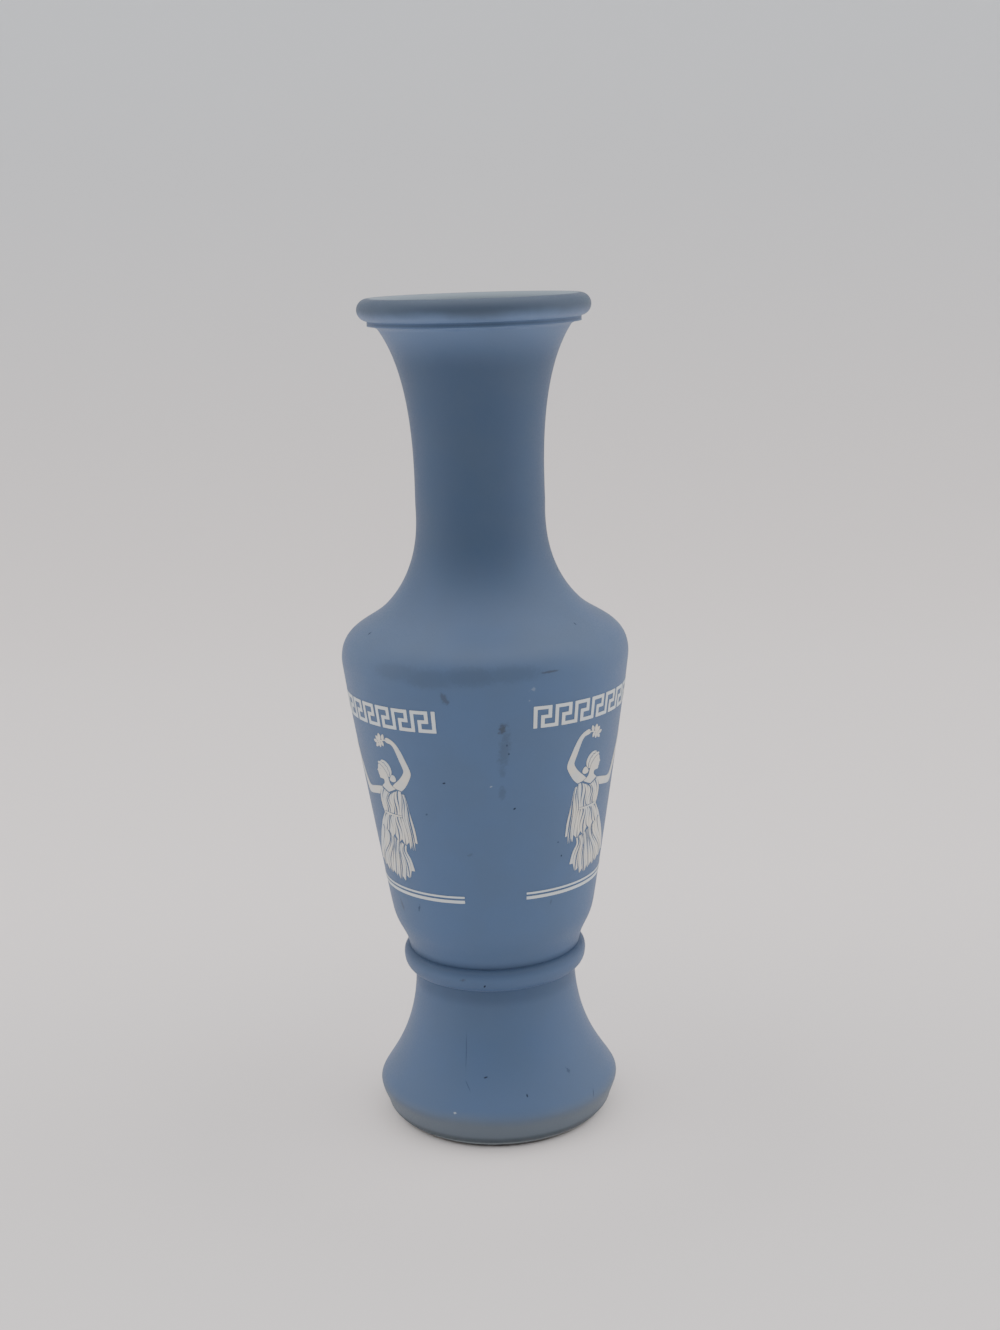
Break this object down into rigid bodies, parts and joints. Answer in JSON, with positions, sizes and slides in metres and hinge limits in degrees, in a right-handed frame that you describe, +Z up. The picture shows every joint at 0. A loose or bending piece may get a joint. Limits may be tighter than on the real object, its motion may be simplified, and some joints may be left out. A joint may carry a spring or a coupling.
{
  "type": "bud vase",
  "caption": "Tall narrow-necked glass bud vase with a flared rolled lip, tapered body, collar and bell foot, blue coat and white classical print.",
  "frame": {"origin": "centre of the resting ring, on the surface that the vase stands on", "axes": "+Z up along the vase's axis, -Y towards the front between the two printed panels, +X to the right of the front"},
  "size_m": [0.062, 0.062, 0.1809],
  "materials": {
    "glass": "clear soda glass, bare at the heel and inside",
    "blue_coat": "satin sprayed coat, slightly worn",
    "white_ink": "matte screen-printed ink"
  },
  "bodies": {
    "root": {"glass_body": "glass", "blue_coat": "blue_coat", "ground_line_thick_left": "white_ink", "ground_line_thin_left": "white_ink", "maiden_front_left": "white_ink", "maiden_back_left": "white_ink", "key_band_left": "white_ink", "ground_line_thick_right": "white_ink", "ground_line_thin_right": "white_ink", "maiden_front_right": "white_ink", "maiden_back_right": "white_ink", "key_band_right": "white_ink"}
  },
  "joints": []
}
